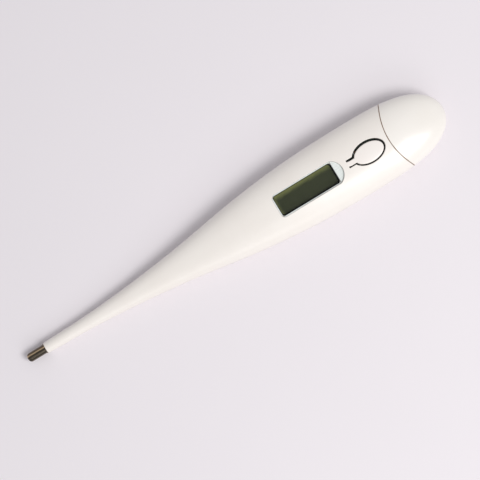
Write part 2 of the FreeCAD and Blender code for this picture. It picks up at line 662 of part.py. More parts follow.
def save_display():
    """The display's plates, its connector strips and its frame."""
    front_top = FRONT_GLASS_BOTTOM + GLASS_THICKNESS
    save("lcd_front_glass", lcd_slab(LCD_WIDTH / 2, FRONT_GLASS_BOTTOM, front_top))
    save("lcd_front_polariser", lcd_slab(LCD_WIDTH / 2 - FILM_INSET, front_top, FILM_TOP, FILM_INSET))
    save("lcd_rear_glass", lcd_slab(LCD_REAR_WIDTH / 2, REAR_GLASS_BOTTOM, FRONT_GLASS_BOTTOM))
    save("lcd_rear_reflector", lcd_slab(LCD_REAR_WIDTH / 2 - FILM_INSET / 2,
                                        REAR_GLASS_BOTTOM - FILM_THICKNESS, REAR_GLASS_BOTTOM, FILM_INSET))
    strips = []
    for side in (-1, 1):
        centre = side * (LCD_WIDTH + LCD_REAR_WIDTH) / 4
        strips.append(block(VIEW_CENTRE - ZEBRA_LENGTH / 2, VIEW_CENTRE + ZEBRA_LENGTH / 2,
                            centre - ZEBRA_WIDTH / 2, centre + ZEBRA_WIDTH / 2,
                            BOARD_TOP, FRONT_GLASS_BOTTOM))
    save("zebra_strips", Part.makeCompound(strips))
    half_length = LCD_LENGTH / 2 + HOLDER_GAP
    half_width = LCD_WIDTH / 2 + HOLDER_GAP
    holder_top = front_top - HOLDER_STEP
    outer = slab(VIEW_CENTRE - half_length - HOLDER_WALL, VIEW_CENTRE + half_length + HOLDER_WALL,
                 half_width + HOLDER_WALL, BOARD_TOP, holder_top, HOLDER_WALL / 2)
    inner = slab(VIEW_CENTRE - half_length, VIEW_CENTRE + half_length, half_width, BOARD_TOP, holder_top)
    save("lcd_holder", outer.cut(inner))


def save_switch():
    """The tactile switch: base, plate, snap dome and plunger."""
    base_top = BOARD_TOP + SWITCH_HEIGHT
    front, rear = SWITCH_STATION - SWITCH_LENGTH / 2, SWITCH_STATION + SWITCH_LENGTH / 2
    well_floor = BOARD_TOP + SWITCH_FLOOR
    base = slab(front, rear, SWITCH_WIDTH / 2, BOARD_TOP, base_top, SWITCH_CORNER)
    base = base.cut(disc(SWITCH_STATION, SWITCH_WELL_DIAMETER, well_floor, base_top))
    save("switch_base", base)
    plate = slab(front, rear, SWITCH_WIDTH / 2, base_top, SWITCH_TOP, SWITCH_CORNER)
    hole = PLUNGER_DIAMETER + 2 * PLUNGER_GAP
    save("switch_cover", plate.cut(disc(SWITCH_STATION, hole, base_top, SWITCH_TOP)))
    rim_radius = SWITCH_WELL_DIAMETER / 2 - DOME_GAP
    radius = (rim_radius ** 2 + DOME_RISE ** 2) / (2 * DOME_RISE)
    centre = Vector(SWITCH_STATION, 0, well_floor + DOME_RISE - radius)
    dome = Part.makeSphere(radius, centre).cut(Part.makeSphere(radius - DOME_SHEET, centre))
    save("switch_dome", dome.cut(below(well_floor)))
    plunger_bottom = well_floor + DOME_RISE + DOME_GAP
    flange_diameter = SWITCH_WELL_DIAMETER - 2 * PLUNGER_GAP
    shaft = disc(SWITCH_STATION, PLUNGER_DIAMETER, plunger_bottom, PLUNGER_TOP)
    flange = disc(SWITCH_STATION, flange_diameter, plunger_bottom, plunger_bottom + PLUNGER_FLANGE)
    save("switch_plunger", fused([shaft, flange]))


def save_buzzer():
    """The buzzer: metal plate, ceramic disc and two leads up to the board."""
    plate_top = BUZZER_TOP + BUZZER_PLATE
    ceramic_top = plate_top + CERAMIC_THICKNESS
    save("buzzer_plate", disc(BUZZER_STATION, BUZZER_DIAMETER, BUZZER_TOP, plate_top))
    save("buzzer_ceramic", disc(BUZZER_STATION, CERAMIC_DIAMETER, plate_top, ceramic_top))
    starts = (ceramic_top, plate_top)
    leads = [disc(BUZZER_STATION, LEAD_DIAMETER, start, BOARD_BOTTOM, across)
             for start, across in zip(starts, LEAD_OFFSETS)]
    save("buzzer_leads", Part.makeCompound(leads))


def negative_leg_station():
    """Station of the upright leg of the negative contact, just ahead of the cell."""
    return CELL_STATION - POCKET_HALF - CONTACT_LEG_GAP


def save_contacts():
    """The two contact strips of the cell."""
    half = CONTACT_WIDTH / 2
    leg = negative_leg_station()
    leaf = slab(leg, CELL_STATION + CONTACT_REACH, half, POCKET_TOP, POCKET_TOP + CONTACT_SHEET)
    upright = slab(leg, leg + CONTACT_SHEET, half, POCKET_TOP, BOARD_BOTTOM)
    save("negative_contact", fused([leaf, upright]))
    save("positive_contact", slab(CELL_STATION - POSITIVE_LENGTH / 2, CELL_STATION + POSITIVE_LENGTH / 2,
                                  half, BOARD_BOTTOM - CONTACT_SHEET, BOARD_BOTTOM, POSITIVE_CORNER))


def save_cell():
    """The button cell: can, insulating ring, and the cap with the filling."""
    can = disc(CELL_STATION, CELL_DIAMETER, CELL_BOTTOM + CAP_RISE, CELL_TOP)
    top_edge = [e for e in can.Edges if e.BoundBox.ZMin > CELL_TOP - NEAR]
    can = can.makeFillet(CAN_SHEET, top_edge)
    inner = CELL_DIAMETER - 2 * CAN_SHEET
    filling_top = CELL_TOP - CAN_SHEET
    save("battery_can", can.cut(disc(CELL_STATION, inner, CELL_BOTTOM + CAP_RISE, filling_top)))
    cap = CELL_DIAMETER - 2 * CAP_INSET
    save("battery_gasket", ring(CELL_STATION, inner, cap, CELL_BOTTOM + CAP_RISE, filling_top))
    save("battery_negative_cap", disc(CELL_STATION, cap, CELL_BOTTOM, filling_top))


def chips(size, station, rows, pitch, count):
    """Rows of small components standing on the board."""
    length, width, height = size
    solids = []
    for row in rows:
        for index in range(count):
            front = station + index * pitch
            solids.append(block(front, front + length, row - width / 2, row + width / 2,
                                BOARD_TOP, BOARD_TOP + height))
    return Part.makeCompound(solids)


def save_components():
    """The sealed chip under the board, and the small components on it."""
    radius = (BLOB_DIAMETER ** 2 / 4 + BLOB_HEIGHT ** 2) / (2 * BLOB_HEIGHT)
    ball = Part.makeSphere(radius, Vector(BLOB_STATION, 0, BOARD_BOTTOM - BLOB_HEIGHT + radius))
    save("chip_encapsulant", ball.common(below(BOARD_BOTTOM)))
    length = RESISTOR[0]
    save("smd_resistors", chips(RESISTOR, RESISTOR_STATION, RESISTOR_ROWS, length + RESISTOR_PITCH, 3))
    save("smd_capacitors", chips(CAPACITOR, CAPACITOR_STATION, CAPACITOR_ROWS, 0.0, 1))


def save_solder():
    """Solder cones on the board's face: at the wires' end, the buzzer leads and the contacts."""
    spots = [(BOARD_FRONT + WIRE_LANDING + SOLDER_DIAMETER / 2, 0.0)]
    spots += [(BUZZER_STATION + SOLDER_BESIDE_LEAD, lead + aside)
              for lead, aside in zip(LEAD_OFFSETS, SOLDER_ASIDE)]
    spots.append((SWITCH_STATION + SOLDER_AT_SWITCH[0], SOLDER_AT_SWITCH[1]))
    cones = [Part.makeCone(SOLDER_DIAMETER / 2, SOLDER_DIAMETER / 4, SOLDER_HEIGHT,
                           Vector(station, across, BOARD_TOP)) for station, across in spots]
    save("solder_joints", Part.makeCompound(cones))


def main():
    """Make every piece and write it."""
    os.makedirs("parts", exist_ok=True)
    skin = make_skin()
    cavity = moulding(WALL, BORE_START - CAVITY_OVERLAP)
    bead, wires = make_bead(), make_wires()
    save("housing", make_housing(skin, cavity))
    save("power_button", make_button(skin))
    save("display_lens", make_lens())
    save("battery_cover", make_cover(skin, cavity))
    save("tip_cap", make_tip())
    save("thermistor_bead", bead)
    save("thermistor_wires", wires)
    save("tip_sealant", tip_hollow(SEALANT_END).cut(bead).cut(wires))
    save("chassis", make_chassis())
    save("circuit_board", make_board())
    save_display()
    save_switch()
    save_buzzer()
    save_contacts()
    save_cell()
    save_components()
    save_solder()


main()
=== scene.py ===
import logging
import math
from dataclasses import dataclass
from enum import Enum
from typing import Any, Callable, Iterable, Sequence

import bmesh
import bpy
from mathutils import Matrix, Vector


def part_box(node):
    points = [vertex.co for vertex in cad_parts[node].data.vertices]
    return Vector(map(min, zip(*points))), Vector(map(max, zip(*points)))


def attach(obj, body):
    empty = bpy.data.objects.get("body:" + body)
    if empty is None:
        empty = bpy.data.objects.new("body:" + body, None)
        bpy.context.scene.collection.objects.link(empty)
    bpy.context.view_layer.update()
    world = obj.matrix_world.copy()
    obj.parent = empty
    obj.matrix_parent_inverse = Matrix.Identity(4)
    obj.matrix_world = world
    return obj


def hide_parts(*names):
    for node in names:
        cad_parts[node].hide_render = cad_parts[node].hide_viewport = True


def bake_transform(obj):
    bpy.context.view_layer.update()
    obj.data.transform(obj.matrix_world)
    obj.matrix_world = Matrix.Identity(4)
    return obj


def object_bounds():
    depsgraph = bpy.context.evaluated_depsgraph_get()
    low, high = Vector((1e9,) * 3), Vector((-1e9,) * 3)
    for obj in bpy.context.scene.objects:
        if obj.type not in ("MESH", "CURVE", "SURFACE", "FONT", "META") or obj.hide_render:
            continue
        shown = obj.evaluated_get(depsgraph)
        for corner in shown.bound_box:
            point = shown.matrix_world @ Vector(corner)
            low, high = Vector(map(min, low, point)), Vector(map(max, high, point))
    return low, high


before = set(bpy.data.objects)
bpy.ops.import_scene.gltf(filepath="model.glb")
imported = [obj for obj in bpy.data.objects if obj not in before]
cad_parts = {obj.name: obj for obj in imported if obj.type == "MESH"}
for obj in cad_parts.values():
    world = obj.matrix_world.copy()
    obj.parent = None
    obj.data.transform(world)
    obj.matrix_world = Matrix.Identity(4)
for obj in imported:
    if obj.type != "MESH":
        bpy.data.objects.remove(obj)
CAD_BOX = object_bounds()
MM = 0.001
HALF_LENGTH = CAD_BOX[1].x / MM
log = logging.getLogger("thermometer")

Colour = tuple[float, float, float]


def place(station: float, across: float, height: float) -> Vector:
    """A point of the object in metres.

    Args:
        station: Distance from the end of the metal tip, in millimetres.
        across: Sideways distance from the long axis, in millimetres.
        height: Height above the surface that the foot stands on, in millimetres.

    Returns:
        The point in the shared frame.
    """
    return Vector((station - HALF_LENGTH, across, height)) * MM


def linear(colour: Colour) -> Colour:
    """A display colour, each channel 0 to 1, as linear light."""
    return tuple(c / 12.92 if c <= 0.04045 else ((c + 0.055) / 1.055) ** 2.4 for c in colour)


# ---------------------------------------------------------------- shader maths


class Value:
    """A number in a shader tree that takes part in ordinary arithmetic."""

    def __init__(self, surface: "Surface", socket: bpy.types.NodeSocket) -> None:
        """Wraps one output socket of the surface's tree."""
        self.surface = surface
        self.socket = socket

    def _math(self, operation: str, first: Any, second: Any = 0.0) -> "Value":
        """A Math node on two values or numbers."""
        made = self.surface.node("ShaderNodeMath", {"operation": operation}, {0: first, 1: second})
        return Value(self.surface, made.outputs[0])

    def __add__(self, other: Any) -> "Value":
        """self + other."""
        return self._math("ADD", self, other)

    def __sub__(self, other: Any) -> "Value":
        """self - other."""
        return self._math("SUBTRACT", self, other)

    def __rsub__(self, other: Any) -> "Value":
        """other - self."""
        return self._math("SUBTRACT", other, self)

    def __mul__(self, other: Any) -> "Value":
        """self * other."""
        return self._math("MULTIPLY", self, other)

    def __truediv__(self, other: Any) -> "Value":
        """self / other."""
        return self._math("DIVIDE", self, other)

    __radd__ = __add__
    __rmul__ = __mul__

    def __pow__(self, power: float) -> "Value":
        """self to a power."""
        return self._math("POWER", self, power)

    def size(self) -> "Value":
        """The value without its sign."""
        return self._math("ABSOLUTE", self)

    def wave(self) -> "Value":
        """The sine of the value in radians."""
        return self._math("SINE", self)

    def larger(self, other: Any) -> "Value":
        """The larger of two values."""
        return self._math("MAXIMUM", self, other)

    def ramp(self, low: float, high: float) -> "Value":
        """0 at low and below, 1 at high and above, smooth between."""
        made = self.surface.node(
            "ShaderNodeMapRange",
            {"interpolation_type": "SMOOTHSTEP"},
            {"Value": self, "From Min": low, "From Max": high},
        )
        return Value(self.surface, made.outputs["Result"])


class Graph:
    """A node tree under construction."""

    tree: bpy.types.NodeTree

    def node(
        self,
        kind: str,
        settings: dict[str, Any] | None = None,
        inputs: dict[Any, Any] | None = None,
    ) -> bpy.types.Node:
        """Adds one node.

        Args:
            kind: The node's type name.
            settings: Its properties, set first.
            inputs: Values or links of its sockets, by name or number.

        Returns:
            The new node.
        """
        made = self.tree.nodes.new(kind)
        for name, value in (settings or {}).items():
            setattr(made, name, value)
        for key, value in (inputs or {}).items():
            self.feed(made.inputs[key], value)
        return made

    def feed(self, socket: bpy.types.NodeSocket, value: Any) -> None:
        """Links or sets one socket."""
        if isinstance(value, Value):
            value = value.socket
        if isinstance(value, bpy.types.NodeSocket):
            self.tree.links.new(value, socket)
        else:
            socket.default_value = value


class Surface(Graph):
    """One material under construction, with its shader and its coordinates."""

    def __init__(self, name: str) -> None:
        """Starts an empty material with one shader and object coordinates."""
        self.material = bpy.data.materials.new(name)
        self.material.use_nodes = True
        self.tree = self.material.node_tree
        self.tree.nodes.clear()
        self.shader = self.node("ShaderNodeBsdfPrincipled")
        self.output = self.node("ShaderNodeOutputMaterial", None, {"Surface": self.shader.outputs[0]})
        self.place = self.node("ShaderNodeTexCoord").outputs["Object"]

    def set(self, **sockets: Any) -> "Surface":
        """Feeds the shader's sockets; an underscore stands for a space."""
        for name, value in sockets.items():
            self.feed(self.shader.inputs[name.replace("_", " ")], value)
        return self

    def axis(self, name: str) -> Value:
        """One object coordinate in metres, by its letter."""
        parts = self.node("ShaderNodeSeparateXYZ", None, {0: self.place})
        return Value(self, parts.outputs[name])

    def stretched(self, scale: Sequence[float]) -> bpy.types.NodeSocket:
        """Object coordinates scaled by axis."""
        return self.node("ShaderNodeMapping", None, {"Vector": self.place, "Scale": scale}).outputs[0]

    def noise(self, size: float, detail: float = 2.0, stretch: Sequence[float] = (1, 1, 1)) -> Value:
        """Noise between 0 and 1 whose features are about size metres across."""
        made = self.node(
            "ShaderNodeTexNoise",
            None,
            {"Vector": self.stretched(stretch), "Scale": 1.0 / size, "Detail": detail, "Roughness": 0.55},
        )
        return Value(self, made.outputs["Fac"])

    def mix(self, share: Any, first: Any, second: Any) -> bpy.types.NodeSocket:
        """A colour between two colours."""
        made = self.node("ShaderNodeMix", {"data_type": "RGBA"}, {"Factor": share})
        for socket, colour in ((made.inputs[6], first), (made.inputs[7], second)):
            if isinstance(colour, tuple):
                colour = (*linear(colour), 1.0)
            self.feed(socket, colour)
        return made.outputs[2]

    def bump(self, height: Value, depth: float, strength: float = 1.0) -> bpy.types.NodeSocket:
        """A normal from a height between 0 and 1 that stands for depth metres."""
        sizes = {"Height": height, "Distance": depth, "Strength": strength}
        made = self.node("ShaderNodeBump", None, sizes)
        return made.outputs[0]


# ---------------------------------------------------------------- finishes


@dataclass(frozen=True)
class Seam:
    """The curved joint line between housing and battery cover, with painted shade along it and a darker spot
    on it.
    """

    station: float = 110.0
    radius: float = 17.0
    half_width: float = 0.11
    shade_colour: Colour = (0.8, 0.7, 0.62)
    spot: tuple[float, float, float] = (110.3, 3.1, 9.9)
    spot_size: float = 0.22

    def painted_shade(self, surface: Surface) -> Value:
        """How much painted shade each point of a surface gets, from 0 to 1: a patchy line along the seam's
        groove and a darker spot.
        """
        centre = place(self.station + self.radius, 0, 0)
        x, y, z = (surface.axis(letter) for letter in "XYZ")
        ring = (((x - centre.x) ** 2 + y**2) ** 0.5 - self.radius * MM).size()
        patchy = surface.noise(0.0018, 3.0).ramp(0.2, 0.6)
        # Painted shade: a patchy beige line where the joint's gap and the lip below it lie in shade.
        line = (1.0 - ring.ramp(self.half_width * MM, 1.5 * self.half_width * MM)) * patchy
        spot = place(*self.spot)
        away = ((x - spot.x) ** 2 + (y - spot.y) ** 2 + (z - spot.z) ** 2) ** 0.5
        return line.larger(1.0 - away.ramp(0.4 * self.spot_size * MM, self.spot_size * MM))


SEAM = Seam()


@dataclass(frozen=True)
class Moulded:
    """Moulded plastic: a tone that drifts a little, a fine mould grain and soft gloss, and painted shade
    along the seam where asked.
    """

    name: str
    colour: Colour
    shade: Colour
    roughness: float = 0.34
    coat: float = 0.25
    grain: float = 0.00018
    depth: float = 0.000004
    seam_shade: bool = False

    def build(self) -> bpy.types.Material:
        """Makes the material."""
        surface = Surface(self.name)
        drift = surface.noise(0.009, 3.0)
        grain = surface.noise(self.grain, 2.0)
        smear = surface.noise(0.0035, 4.0, (0.35, 1, 1))
        base = surface.mix(drift.ramp(0.25, 0.8), self.colour, self.shade)
        # Painted shade along the seam, mixed into the plastic's colour.
        if self.seam_shade:
            base = surface.mix(SEAM.painted_shade(surface), base, SEAM.shade_colour)
        surface.set(
            Base_Color=base,
            Roughness=smear * 0.12 + (self.roughness - 0.06) + grain * 0.03,
            Normal=surface.bump(grain, self.depth),
            Coat_Weight=self.coat,
            Coat_Roughness=0.16,
            IOR=1.53,
        )
        return surface.material


@dataclass(frozen=True)
class Drawn:
    """Drawn or rolled metal with fine lines along one axis."""

    name: str
    colour: Colour
    shade: Colour
    roughness: float = 0.24
    along: tuple[float, float, float] = (0.05, 1.0, 1.0)

    def build(self) -> bpy.types.Material:
        """Makes the material."""
        surface = Surface(self.name)
        lines = surface.noise(0.00009, 3.0, self.along)
        blotch = surface.noise(0.0016, 3.0)
        surface.set(
            Base_Color=surface.mix(blotch.ramp(0.3, 0.75), self.colour, self.shade),
            Metallic=1.0,
            Roughness=lines * 0.16 + blotch * 0.08 + (self.roughness - 0.1),
            Normal=surface.bump(lines, 0.000002),
        )
        return surface.material


@dataclass(frozen=True)
class DrawnTube:
    """Drawn steel tube with die lines, and painted reflections in streaks that run along it.

    The painted reflections are tones by how far across the tube they lie, from -1 to 1.
    """

    name: str
    radius: float
    reflections: tuple[tuple[float, Colour], ...]
    roughness: float = 0.2

    def build(self) -> bpy.types.Material:
        """Makes the material."""
        surface = Surface(self.name)
        lines = surface.noise(0.00012, 3.0, (0.06, 1.0, 1.0))
        patch = surface.noise(0.0009, 3.0, (0.5, 1.0, 1.0))
        across = surface.axis("Y") / (2 * self.radius * MM) + 0.5 + (patch - 0.5) * 0.12
        # Painted reflections: the tones across the tube stand in for what the metal reflects.
        ramp = surface.node("ShaderNodeValToRGB", None, {"Fac": across})
        elements = ramp.color_ramp.elements
        while len(elements) < len(self.reflections):
            elements.new(1.0)
        for element, (position, colour) in zip(elements, self.reflections):
            element.position = (position + 1) / 2
            element.color = (*linear(colour), 1.0)
        surface.set(
            Base_Color=surface.mix(lines * 0.35, ramp.outputs["Color"], (0.5, 0.46, 0.4)),
            Metallic=1.0,
            Roughness=lines * 0.14 + patch * 0.1 + (self.roughness - 0.1),
            Normal=surface.bump(lines, 0.000003),
        )
        return surface.material


@dataclass(frozen=True)
class Film:
    """The display's dark film: olive, with painted light along one long side and the front end, and a
    painted black shadow round the window's edge.

    The window is its front and rear station and its half-width, in millimetres. The painted shadow's clear
    area has its own half-sizes and corner, and lies a little forward and aside, so the shadow is wider at
    the rear end and along the other long side.
    """

    name: str
    colour: Colour
    # The next colour is the painted light; the one after it is the painted shadow.
    light: Colour
    shadow_border: Colour = (0.03, 0.03, 0.025)
    window: tuple[float, float, float] = (76.5, 93.9, 2.95)
    margin: float = 0.28
    offset: tuple[float, float] = (-0.12, 0.13)
    corner: float = 0.75
    painted_glow_width: float = 1.5

    def build(self) -> bpy.types.Material:
        """Makes the material."""
        surface = Surface(self.name)
        cloud = surface.noise(0.0022, 3.0)
        weave = surface.noise(0.00012, 1.0)
        front, rear, half_width = self.window
        middle = place((front + rear) / 2 + self.offset[0], self.offset[1], 0)
        half_length = (rear - front) / 2 - self.margin
        half_width -= self.margin
        x, y = surface.axis("X") - middle.x, surface.axis("Y") - middle.y
        past_end = (x.size() - (half_length - self.corner) * MM).larger(0.0)
        past_side = (y.size() - (half_width - self.corner) * MM).larger(0.0)
        away = (past_end**2 + past_side**2) ** 0.5 - self.corner * MM
        # Painted shadow: a black frame inside the window, where its walls cast shade on the film.
        dark = away.ramp(-0.06 * MM, 0.08 * MM)
        edge = half_width * MM
        # Painted light along one long side and the front end, where light reaches past the window's walls.
        side = (y + (cloud - 0.5) * 0.0011).ramp(edge - self.painted_glow_width * MM, edge)
        painted_front_glow = 1.0 - (x + (cloud - 0.5) * 0.0008).ramp(-half_length * MM, (0.9 - half_length) * MM)
        painted_glow = side.larger(painted_front_glow * 0.6) * (surface.noise(0.004, 2.0) * 0.7 + 0.5)
        painted_lit = surface.mix(painted_glow, self.colour, self.light)
        surface.set(
            Base_Color=surface.mix(dark, painted_lit, self.shadow_border),
            Roughness=cloud * 0.1 + 0.32,
            Normal=surface.bump(weave, 0.0000015),
            Specular_IOR_Level=0.2,
        )
        return surface.material


@dataclass(frozen=True)
class Clear:
    """A clear sheet with a faint tint and handling marks, frosted outside its window if it has one.

    The window is its front and rear station and its half-width, in millimetres.
    """

    name: str
    tint: Colour
    haze: Colour
    cover: float
    roughness: float = 0.05
    window: tuple[float, float, float] | None = None
    frost: Colour = (0.95, 0.975, 0.965)
    frost_cover: float = 0.85

    def build(self) -> bpy.types.Material:
        """Makes the material."""
        surface = Surface(self.name)
        haze = surface.noise(0.0025, 4.0)
        fine = surface.noise(0.00035, 2.0, (0.3, 1, 1))
        base = surface.mix(haze, self.tint, self.haze)
        alpha = haze.ramp(0.3, 0.9) * 0.05 + self.cover
        if self.window:
            frosted = self.outside(surface)
            base = surface.mix(frosted, base, self.frost)
            alpha = alpha + frosted * (fine * 0.3 + (self.frost_cover - 0.15))
        surface.set(
            Base_Color=base,
            Roughness=haze * 0.05 + self.roughness,
            Alpha=alpha,
            Normal=surface.bump(fine, 0.0000008),
            IOR=1.49,
        )
        return surface.material

    def outside(self, surface: Surface) -> Value:
        """1 outside the window and 0 inside it."""
        front, rear, half_width = self.window
        edge = 0.06 * MM
        x, y = surface.axis("X"), surface.axis("Y")
        middle = place((front + rear) / 2, 0, 0).x
        half_length = (rear - front) / 2 * MM
        along = (x - middle).size().ramp(half_length - edge, half_length + edge)
        across = y.size().ramp(half_width * MM - edge, half_width * MM + edge)
        return along.larger(across)


@dataclass(frozen=True)
class Laminate:
    """Solder-masked board: the mask's colour over faint copper areas and a glass weave."""

    name: str
    mask: Colour
    copper: Colour

    def build(self) -> bpy.types.Material:
        """Makes the material."""
        surface = Surface(self.name)
        weave = (surface.axis("X") * 9000.0).wave() * (surface.axis("Y") * 9000.0).wave()
        areas = surface.node(
            "ShaderNodeTexVoronoi", {"distance": "CHEBYCHEV"}, {"Vector": surface.place, "Scale": 420.0}
        )
        lands = Value(surface, areas.outputs["Distance"]).ramp(0.38, 0.42)
        surface.set(
            Base_Color=surface.mix(lands * 0.8, self.copper, self.mask),
            Roughness=0.3 + surface.noise(0.002) * 0.12,
            Normal=surface.bump(lands * 0.7 + weave * 0.1, 0.00002),
            Coat_Weight=0.3,
            Coat_Roughness=0.2,
        )
        return surface.material


@dataclass(frozen=True)
class Layered:
    """Rubber strip of thin conducting and insulating layers."""

    name: str
    rubber: Colour
    carbon: Colour
    pitch: float = 0.00018

    def build(self) -> bpy.types.Material:
        """Makes the material."""
        surface = Surface(self.name)
        layers = (surface.axis("X") * (2 * math.pi / self.pitch)).wave().ramp(-0.2, 0.2)
        surface.set(
            Base_Color=surface.mix(layers, self.rubber, self.carbon),
            Roughness=0.62 + surface.noise(0.0008) * 0.2,
            Normal=surface.bump(layers, 0.000004),
        )
        return surface.material


@dataclass(frozen=True)
class Paper:
    """The matt table top under the object."""

    name: str
    colour: Colour
    shade: Colour

    def build(self) -> bpy.types.Material:
        """Makes the material."""
        surface = Surface(self.name)
        cloud = surface.noise(0.06, 3.0)
        fibre = surface.noise(0.0006, 3.0)
        surface.set(
            Base_Color=surface.mix(cloud, self.colour, self.shade),
            Roughness=0.75 + fibre * 0.1,
            Normal=surface.bump(fibre, 0.000006),
            Specular_IOR_Level=0.2,
        )
        return surface.material


# Painted reflections on the metal tip: a warm highlight line, dark streaks and light edges, by place across
# the tube.
TIP_REFLECTIONS = (
    (-1.0, (0.6, 0.55, 0.49)),
    (-0.8, (0.3, 0.28, 0.25)),
    (-0.45, (0.14, 0.13, 0.12)),
    (-0.2, (0.5, 0.46, 0.41)),
    (-0.05, (0.16, 0.15, 0.13)),
    (0.2, (0.3, 0.26, 0.22)),
    (0.38, (1.0, 0.88, 0.72)),
    (0.6, (0.42, 0.35, 0.29)),
    (0.85, (0.3, 0.26, 0.22)),
    (1.0, (0.45, 0.4, 0.35)),
)


class Tone(Enum):
    """The finishes of the object, one for each kind of material."""

    HOUSING = Moulded("white_abs", (0.962, 0.943, 0.92), (0.952, 0.93, 0.905), seam_shade=True)
    BUTTON = Moulded("button_abs", (0.962, 0.935, 0.915), (0.965, 0.945, 0.925), depth=0.000003)
    COVER = Moulded("cover_abs", (0.965, 0.95, 0.928), (0.957, 0.94, 0.915), 0.3, 0.4, seam_shade=True)
    CHASSIS = Moulded("chassis_abs", (0.88, 0.88, 0.86), (0.84, 0.84, 0.82), roughness=0.5, coat=0.0)
    FRAME = Moulded("holder_abs", (0.91, 0.91, 0.9), (0.88, 0.88, 0.87), roughness=0.5, coat=0.0)
    NYLON = Moulded("switch_plastic", (0.07, 0.07, 0.075), (0.1, 0.1, 0.1), roughness=0.5, coat=0.0)
    PLUNGER = Moulded("plunger_plastic", (0.13, 0.12, 0.12), (0.17, 0.16, 0.16), roughness=0.42, coat=0.1)
    GASKET = Moulded("gasket_nylon", (0.14, 0.14, 0.17), (0.2, 0.2, 0.22), roughness=0.45, coat=0.0)
    CHIP = Moulded("black_epoxy", (0.045, 0.045, 0.05), (0.08, 0.08, 0.08), roughness=0.4, coat=0.3)
    RESISTOR = Moulded("resistor_ceramic", (0.06, 0.06, 0.07), (0.1, 0.1, 0.1), roughness=0.35, coat=0.2)
    CAPACITOR = Moulded("capacitor_ceramic", (0.62, 0.48, 0.34), (0.55, 0.43, 0.3), roughness=0.5, coat=0.1)
    POTTING = Moulded("epoxy", (0.3, 0.26, 0.2), (0.36, 0.31, 0.25), roughness=0.3, coat=0.4)
    BEAD = Moulded("bead_glass", (0.18, 0.1, 0.07), (0.24, 0.14, 0.1), roughness=0.2, coat=0.6)
    WIRE = Moulded("wire_enamel", (0.62, 0.27, 0.12), (0.7, 0.33, 0.16), roughness=0.25, coat=0.5)
    PIEZO = Moulded("buzzer_ceramic", (0.87, 0.85, 0.78), (0.82, 0.8, 0.73), roughness=0.45, coat=0.0)
    STEEL = DrawnTube("tip_steel", 1.23, TIP_REFLECTIONS)
    CAN = Drawn("cell_steel", (0.83, 0.83, 0.82), (0.76, 0.76, 0.75), roughness=0.28, along=(1, 0.05, 1))
    # Switch steel painted darker than real steel, as painted shade, so the button's slot reads black.
    SHADE_DARKENED_SHEET = Drawn("switch_steel", (0.3, 0.3, 0.3), (0.22, 0.22, 0.21), roughness=0.45)
    NICKEL = Drawn("contact_nickel", (0.82, 0.8, 0.74), (0.74, 0.72, 0.66), roughness=0.26)
    SOLDER = Drawn("solder", (0.82, 0.82, 0.83), (0.7, 0.7, 0.71), roughness=0.3, along=(1, 1, 1))
    BRASS = Drawn("buzzer_brass", (0.85, 0.7, 0.4), (0.76, 0.6, 0.32), roughness=0.28)
    COPPER = Drawn("lead_copper", (0.86, 0.55, 0.4), (0.78, 0.47, 0.33), roughness=0.3)
    GOLD = Drawn("pad_gold", (0.93, 0.78, 0.45), (0.88, 0.7, 0.38), roughness=0.25, along=(1, 1, 1))
    GLUE = Moulded("glue", (0.66, 0.55, 0.47), (0.74, 0.64, 0.56), roughness=0.3, coat=0.5, depth=0.00001)
    CARBON = Moulded("carbon_rubber", (0.07, 0.07, 0.07), (0.1, 0.1, 0.1), roughness=0.6, coat=0.0)
    # Both films carry painted light along one side and the front end, and a painted shadow inside the
    # window's edge.
    POLARISER = Film("polariser_film", (0.215, 0.235, 0.16), (0.47, 0.49, 0.3))
    REFLECTOR = Film("reflector_film", (0.52, 0.55, 0.42), (0.6, 0.62, 0.47), (0.4, 0.42, 0.33))
    LENS = Clear("clear_lens", (0.05, 0.06, 0.05), (0.16, 0.18, 0.16), 0.02, window=(76.5, 93.9, 2.95))
    GLASS = Clear("lcd_glass", (0.8, 0.86, 0.76), (0.95, 1.0, 0.95), 0.4, 0.08)
    BOARD = Laminate("board_laminate", (0.04, 0.17, 0.1), (0.1, 0.26, 0.13))
    STRIP = Layered("strip_rubber", (0.62, 0.34, 0.33), (0.08, 0.08, 0.08))
    TABLE = Paper("table_top", (0.935, 0.918, 0.935), (0.925, 0.908, 0.926))


NODE_TONES: dict[str, Tone] = {
    "housing": Tone.HOUSING, "power_button": Tone.BUTTON, "battery_cover": Tone.COVER,
    "display_lens": Tone.LENS, "tip_cap": Tone.STEEL, "tip_sealant": Tone.POTTING,
    "thermistor_bead": Tone.BEAD, "thermistor_wires": Tone.WIRE, "chassis": Tone.CHASSIS,
    "circuit_board": Tone.BOARD, "lcd_front_glass": Tone.GLASS, "lcd_rear_glass": Tone.GLASS,
    "lcd_front_polariser": Tone.POLARISER, "lcd_rear_reflector": Tone.REFLECTOR,
    "lcd_holder": Tone.FRAME, "zebra_strips": Tone.STRIP, "chip_encapsulant": Tone.CHIP,
    "smd_resistors": Tone.RESISTOR, "smd_capacitors": Tone.CAPACITOR, "switch_base": Tone.NYLON,
    "switch_cover": Tone.SHADE_DARKENED_SHEET, "switch_dome": Tone.SHADE_DARKENED_SHEET, "switch_plunger": Tone.PLUNGER,
    "buzzer_plate": Tone.BRASS, "buzzer_ceramic": Tone.PIEZO, "buzzer_leads": Tone.COPPER,
    "positive_contact": Tone.NICKEL, "negative_contact": Tone.NICKEL, "solder_joints": Tone.SOLDER,
    "battery_can": Tone.CAN, "battery_gasket": Tone.GASKET, "battery_negative_cap": Tone.CAN,
}


